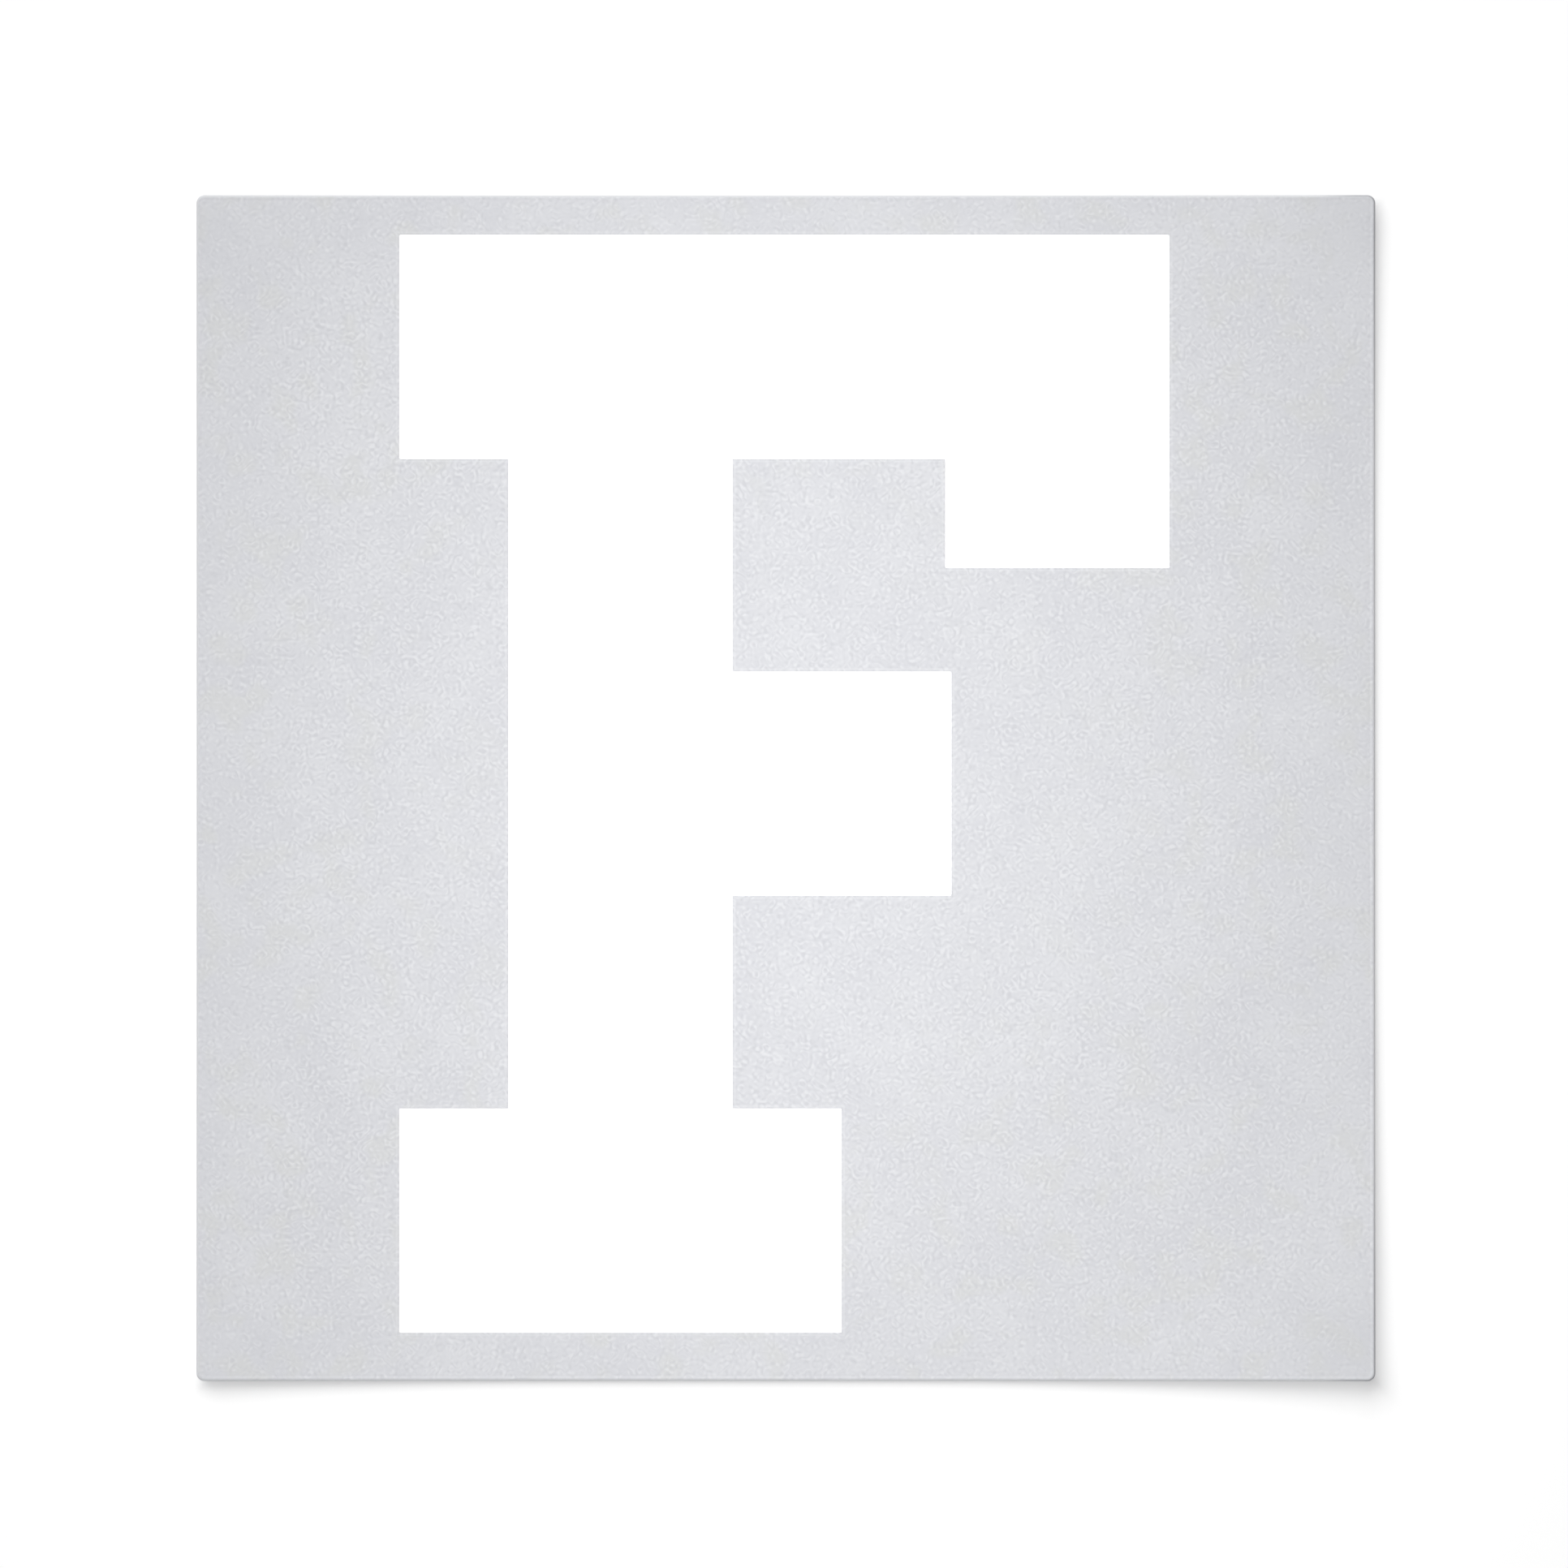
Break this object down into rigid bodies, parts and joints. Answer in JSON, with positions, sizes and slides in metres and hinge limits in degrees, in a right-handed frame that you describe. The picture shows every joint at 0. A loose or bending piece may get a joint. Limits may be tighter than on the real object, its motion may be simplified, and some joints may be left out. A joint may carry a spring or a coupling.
{
  "type": "lettering stencil",
  "caption": "Frosted plastic sheet with a large slab-serif block capital cut through it, for painting or spraying the letter onto a surface.",
  "frame": {"origin": "centre of the sheet's footprint, on the plane of its flat underside", "axes": "+Z out of the grained upper face, +Y to the top of the letter, +X in the reading direction"},
  "size_m": [0.3048, 0.3066, 0.0075],
  "materials": {
    "frosted_polyethylene": "haircell-grained top, cut edges, translucent white"
  },
  "bodies": {
    "root": {"stencil_sheet": "frosted_polyethylene"}
  },
  "joints": []
}
